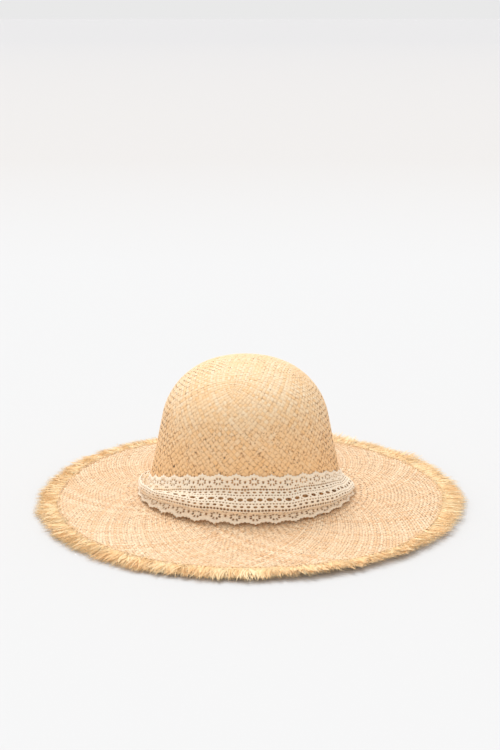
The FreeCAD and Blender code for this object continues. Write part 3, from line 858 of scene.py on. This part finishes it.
def on_lace(turn, where):
    """A point of the folded lace and its outward direction."""
    turns = np.full(3, turn)
    steps = np.clip(where + np.array([0, -0.01, 0.01]), 0, 1)
    section = smooth_curve(fold_section(turns), steps, FOLD_AT)
    along = section[2] - section[1]
    out = Vector((-along[1], along[0])).normalized()
    point = np.array([section[0, 0] * math.cos(turn), section[0, 0] * math.sin(turn) * OVAL, section[0, 1]])
    return point, np.array([out.x * math.cos(turn), out.x * math.sin(turn), out.y])


def lace_stitch(turn, half_length, where, lift, radius):
    """A stitch that lies along the lace."""
    start, out = on_lace(turn - half_length, where)
    end, _ = on_lace(turn + half_length, where)
    return stitch(start + out * lift, end + out * lift, out, radius)


lace_joins = [lace_stitch(BACK, 0.02, where, 0.0005, 0.0004)
              for where in np.linspace(0.82, 0.97, JOIN_STITCHES)]
threads.append(thread_piece("lace_join_threads", lace_joins, "lace_join_stitches"))

tacks = []
for count in range(HEM_TACKS):
    turn = BACK + math.tau * (count + 0.5) / HEM_TACKS
    start, out = on_lace(turn, 0.95)
    end, _ = on_lace(turn, 1.0)
    tacks.append(stitch(start + out * 0.0004, end + np.array([0, 0, -0.0007]), out, 0.0003))
for count in range(FRONT_TACKS):
    turn = -BACK + FRONT_TACK_SPREAD * (count / (FRONT_TACKS - 1) - 0.5)
    tacks.append(lace_stitch(turn, 0.012, 0.33, 0.0002, 0.0003))
threads.append(thread_piece("lace_tack_threads", tacks, "lace_tack_stitches"))
print([piece.name for piece in threads])

# %% [markdown]
# ## Straw and cotton
#
# Raffia is a dried leaf: fine fibres run along it, its colour wanders from strip to strip, and it
# has a dull wax sheen. An image of straw would repeat, so the colour is made from noise, stretched
# along each strip with the strip's own map. The whole number in the map's V is the strip's number,
# which gives each strip its own shade.

# %% Helpers for node trees
def new_material(name, **settings):
    """A material with one Principled shader, constant settings on the shader's own sockets."""
    material = bpy.data.materials.new(name)
    material.use_nodes = True
    shader = material.node_tree.nodes["Principled BSDF"]
    for socket, value in settings.items():
        shader.inputs[socket.replace("_", " ")].default_value = value
    return material, material.node_tree, shader


def add(tree, kind, inputs=(), **settings):
    """One node, its properties set and its input sockets filled or linked."""
    node = tree.nodes.new("ShaderNode" + kind)
    for key, value in settings.items():
        setattr(node, key, value)
    for socket, value in dict(inputs).items():
        if isinstance(value, bpy.types.NodeSocket):
            tree.links.new(value, node.inputs[socket])
        else:
            node.inputs[socket].default_value = value
    return node


def math_node(tree, operation, first, second=0.0):
    """One sum on two values."""
    return add(tree, "Math", {0: first, 1: second}, operation=operation).outputs[0]


def mix_colour(tree, factor, first, second):
    """A mix of two colours; its sockets are found by type, since several share a name."""
    node = add(tree, "Mix", data_type="RGBA")
    for socket, kind, value in (("Factor", "VALUE", factor), ("A", "RGBA", first), ("B", "RGBA", second)):
        where = next(s for s in node.inputs if (s.name, s.type) == (socket, kind))
        if isinstance(value, bpy.types.NodeSocket):
            tree.links.new(value, where)
        else:
            where.default_value = value
    return next(s for s in node.outputs if s.type == "RGBA")


def ramp(tree, value, *stops):
    """A colour ramp with stops of (place, grey or colour)."""
    node = add(tree, "ValToRGB", {0: value})
    elements = node.color_ramp.elements
    while len(elements) < len(stops):
        elements.new(0.5)
    for element, (place, colour) in zip(elements, stops):
        element.position = place
        element.color = colour if hasattr(colour, "__len__") else (colour, colour, colour, 1)
    return node.outputs[0]


def finish_shader(tree, shader, tone, height, strength, relief, **settings):
    """Link the colour and a bump to the shader."""
    tree.links.new(tone, shader.inputs["Base Color"])
    bump = add(tree, "Bump", {"Height": height, "Strength": strength, "Distance": relief},
               **settings)
    tree.links.new(bump.outputs[0], shader.inputs["Normal"])


def colour(red, green, blue):
    """A colour given as it is seen, turned into the linear light that shaders use."""
    return tuple(c / 12.92 if c <= 0.04045 else ((c + 0.055) / 1.055) ** 2.4
                 for c in (red, green, blue)) + (1.0,)


# %% A shared effect: the fibres of a strip
def fibre_group():
    """Streaks, shades, patches and the masks of painted shade, from the strip's own map."""
    group = bpy.data.node_groups.new("leaf fibres", "ShaderNodeTree")
    place = add(group, "UVMap", uv_map="strip").outputs[0]
    along, row, _ = add(group, "SeparateXYZ", {0: place}).outputs
    number, across = math_node(group, "FLOOR", row), math_node(group, "FRACT", row)

    def noise(along_by, across_by, number_by, detail, roughness=0.5):
        """Noise on the map, drawn out by three factors."""
        drawn = {k: math_node(group, "MULTIPLY", part, by) for k, (part, by) in enumerate(
            ((along, along_by), (across, across_by), (number, number_by)))}
        vector = add(group, "CombineXYZ", drawn).outputs[0]
        return add(group, "TexNoise", {"Vector": vector, "Scale": 1.0, "Detail": detail,
                                       "Roughness": roughness}).outputs[0]

    slow = noise(190, 0, 1.3, 1.0)
    own = add(group, "TexWhiteNoise", {"W": number}, noise_dimensions="1D").outputs[0]
    from_middle = math_node(group, "ABSOLUTE", math_node(group, "SUBTRACT", across, 0.5))
    effects = {
        "Streaks": noise(90, 7, 3.7, 3.0, 0.65),
        "Shade": math_node(group, "ADD", math_node(group, "MULTIPLY", own, 0.45),
                           math_node(group, "MULTIPLY", slow, 0.55)),
        "Patches": slow,
        # painted shade: the strips' edges, darkened as if in shadow between neighbouring strips
        "Rim": ramp(group, from_middle, (0.24, 0.0), (0.4, 1.0)),
        # painted shade: small dark spots standing for the shaded gaps in the weave
        "GapShade": ramp(group, noise(620, 2, 5.1, 0.0), (0.66, 0.0), (0.74, 1.0)),
    }
    for name in effects:
        group.interface.new_socket(name, in_out="OUTPUT", socket_type="NodeSocketFloat")
    end = group.nodes.new("NodeGroupOutput")
    for name, value in effects.items():
        group.links.new(value, end.inputs[name])
    return group


FIBRES_GROUP = fibre_group()


def straw_material(name, pale, deep, painted_shade, roughness, relief, gap_shade_weight, calm_above=None):
    """Straw between two tones, with painted shade along the rims and in small spots standing for
    shaded gaps in the weave. Above calm_above, where the weave is tight, the painted rims and
    spots fade, and towards the foot the deeper tone takes over as painted shade."""
    material, tree, shader = new_material(name, Roughness=roughness, Specular_IOR_Level=0.3)
    fibre = add(tree, "Group", node_tree=FIBRES_GROUP).outputs
    tone = mix_colour(tree, ramp(tree, fibre["Shade"], (0.2, 0.0), (0.85, 1.0)), pale, deep)
    tone = mix_colour(tree, ramp(tree, fibre["Streaks"], (0.42, 0.0), (0.72, 0.6)), tone, deep)
    uneven = ramp(tree, fibre["Patches"], (0.35, 0.25), (0.65, 1.0))
    # painted shade along the rims, uneven along each strip
    darker = math_node(tree, "MULTIPLY", math_node(tree, "MULTIPLY", fibre["Rim"], painted_shade[1]), uneven)
    # painted shade: spots for shaded gaps, in the same colour as the rims
    gap_shade_spots = math_node(tree, "MULTIPLY", fibre["GapShade"], gap_shade_weight)
    if calm_above:
        place = add(tree, "TexCoord").outputs["Object"]
        up = add(tree, "SeparateXYZ", {0: place}).outputs[2]

        def graded(*limits):
            """A value that changes evenly between two heights."""
            sockets = zip(("From Min", "From Max", "To Min", "To Max"), limits)
            return add(tree, "MapRange", {"Value": up, **dict(sockets)}).outputs[0]

        tight = graded(calm_above, CROWN_TOP - 0.015, 1.0, 0.35)
        darker = math_node(tree, "MULTIPLY", darker, tight)
        gap_shade_spots = math_node(tree, "MULTIPLY", gap_shade_spots, math_node(tree, "MULTIPLY", tight, tight))
        # painted shade: the lower crown takes the deeper tone, as if less lit than its top
        tone = mix_colour(tree, graded(CROWN_TOP / 3, CROWN_TOP * 0.8, 0.75, 0.0), tone, deep)
    tone = mix_colour(tree, darker, tone, painted_shade[0])
    tone = mix_colour(tree, gap_shade_spots, tone, painted_shade[0])
    finish_shader(tree, shader, tone, fibre["Streaks"], 0.5, relief)
    return material


# painted shade colour, laid on the rims and in the spots for shaded gaps
STRAW_PAINTED_SHADE = colour(0.55, 0.30, 0.10)
crown_straw = straw_material("woven straw, crown", colour(1.0, 0.92, 0.79), colour(0.99, 0.80, 0.57),
                             (STRAW_PAINTED_SHADE, 0.6), 0.55, 0.0003, 0.6, calm_above=0.085)
brim_straw = straw_material("woven straw, brim", colour(0.995, 0.91, 0.78), colour(0.91, 0.72, 0.52),
                            (STRAW_PAINTED_SHADE, 0.7), 0.6, 0.0002, 0.5)
frayed_straw = straw_material("frayed straw", colour(1.0, 0.945, 0.79), colour(1.0, 0.80, 0.55),
                              (STRAW_PAINTED_SHADE, 0.0), 0.6, 0.00003, 0.0)

# %% Cotton: crochet, tape and thread
def cotton_material(name, map_name, pale, deep, scale, relief):
    """Looped cotton: small rounded stitches in rows across the ribbon's own map."""
    material, tree, shader = new_material(name, Roughness=0.85, Specular_IOR_Level=0.2,
                                          Sheen_Weight=0.3, Sheen_Roughness=0.6)
    place = add(tree, "UVMap", uv_map=map_name).outputs[0]
    loops = add(tree, "TexVoronoi", {"Vector": place, "Scale": scale, "Randomness": 0.55})
    cloud = add(tree, "TexNoise", {"Vector": place, "Scale": 60.0, "Detail": 4.0})
    tone = mix_colour(tree, ramp(tree, loops.outputs["Distance"], (0.15, 0.0), (0.75, 1.0)), pale, deep)
    tone = mix_colour(tree, ramp(tree, cloud.outputs[0], (0.4, 0.0), (0.7, 0.4)), tone, deep)
    finish_shader(tree, shader, tone, loops.outputs["Distance"], 0.6, relief, invert=True)
    return material


crochet = cotton_material("cotton crochet", "ribbon", colour(1.0, 0.955, 0.86),
                          colour(1.0, 0.91, 0.80), 1250.0, 0.00014)
tape = cotton_material("cotton tape", "tape", colour(0.95, 0.89, 0.79), colour(0.87, 0.79, 0.67),
                       1500.0, 0.0002)
thread = cotton_material("sewing thread", "strip", colour(1.0, 0.90, 0.76), colour(0.97, 0.82, 0.64),
                         1800.0, 0.0001)

# %% Put the materials and the frame's marks on
for pieces, material, node, slot_name in (
    (crown_pieces, crown_straw, "crown", "straw"),
    (brim_pieces, brim_straw, "brim", "straw"),
    (fringe_pieces, frayed_straw, "brim_fringe", "frayed_straw"),
    ([lace], crochet, "lace_band", "cotton_lace"),
    ([sweat], tape, "sweatband", "cotton_tape"),
    (threads, thread, None, None),
):
    for piece in pieces:
        piece.data.materials.append(material)
        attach(piece, "root")
        if node:
            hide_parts(node)

# %% [markdown]
# ## Floor, light and camera
#
# A pale straw shows its weave only if the light has a direction, yet hard light would turn it
# white. One broad sun above and behind gives the direction, and a bright room fills the rest.

# %% Floor and light
ROOM_LIGHT = 0.815
FADE_REACH = 20  # the floor's tone changes over this distance
bm = bmesh.new()
bmesh.ops.create_grid(bm, x_segments=1, y_segments=1, size=60)
floor = link(finished_mesh(bm, "floor"), "floor")
floor_material, floor_tree, floor_shader = new_material("pale floor", Roughness=0.9,
                                                        Specular_IOR_Level=0.1)
far = add(floor_tree, "SeparateXYZ",
          {0: add(floor_tree, "TexCoord").outputs["Object"]}).outputs[1]
# painted shade: the floor darkens with distance, standing in for a backdrop that gets less light higher up
fade = ramp(floor_tree, math_node(floor_tree, "DIVIDE", far, FADE_REACH), (0.07, (0.69, 0.69, 0.692, 1)),
            (0.17, (0.66, 0.645, 0.635, 1)), (1.0, (0.615, 0.61, 0.615, 1)))
floor_tree.links.new(fade, floor_shader.inputs["Base Color"])
floor.data.materials.append(floor_material)


def soft_sun(name, azimuth, elevation, spread, strength):
    """A sun as wide as a soft box, which lights the floor evenly. Azimuth is where it shines from."""
    lamp = bpy.data.lights.new(name, "SUN")
    lamp.angle, lamp.energy = math.radians(spread), strength
    high, side = math.radians(elevation), math.radians(azimuth)
    source = Vector((math.cos(high) * math.cos(side), math.cos(high) * math.sin(side), math.sin(high)))
    link(lamp, name).rotation_euler = source.to_track_quat("Z", "Y").to_euler()


soft_sun("overhead", azimuth=115, elevation=62, spread=30, strength=1.9)
world = bpy.data.worlds.new("room")
bpy.context.scene.world = world
world.use_nodes = True
room = world.node_tree.nodes["Background"].inputs
room[0].default_value, room[1].default_value = (1, 1, 1, 1), ROOM_LIGHT
print("world", room[1].default_value)

# %% Camera
ELEVATION = math.radians(13.8)  # how far down it looks
CAMERA_DISTANCE, CAMERA_HEIGHT = 1.4225, 0.476
lens = bpy.data.cameras.new("camera")
lens.sensor_fit = "VERTICAL"
lens.sensor_height = 36
lens.lens = 72
camera = link(lens, "camera")
camera.location = (BRIM_DRIFT, -CAMERA_DISTANCE, CAMERA_HEIGHT)
camera.rotation_euler = (math.radians(90) - ELEVATION, 0, 0)
bpy.context.scene.camera = camera
bpy.context.scene.view_settings.view_transform = "Standard"
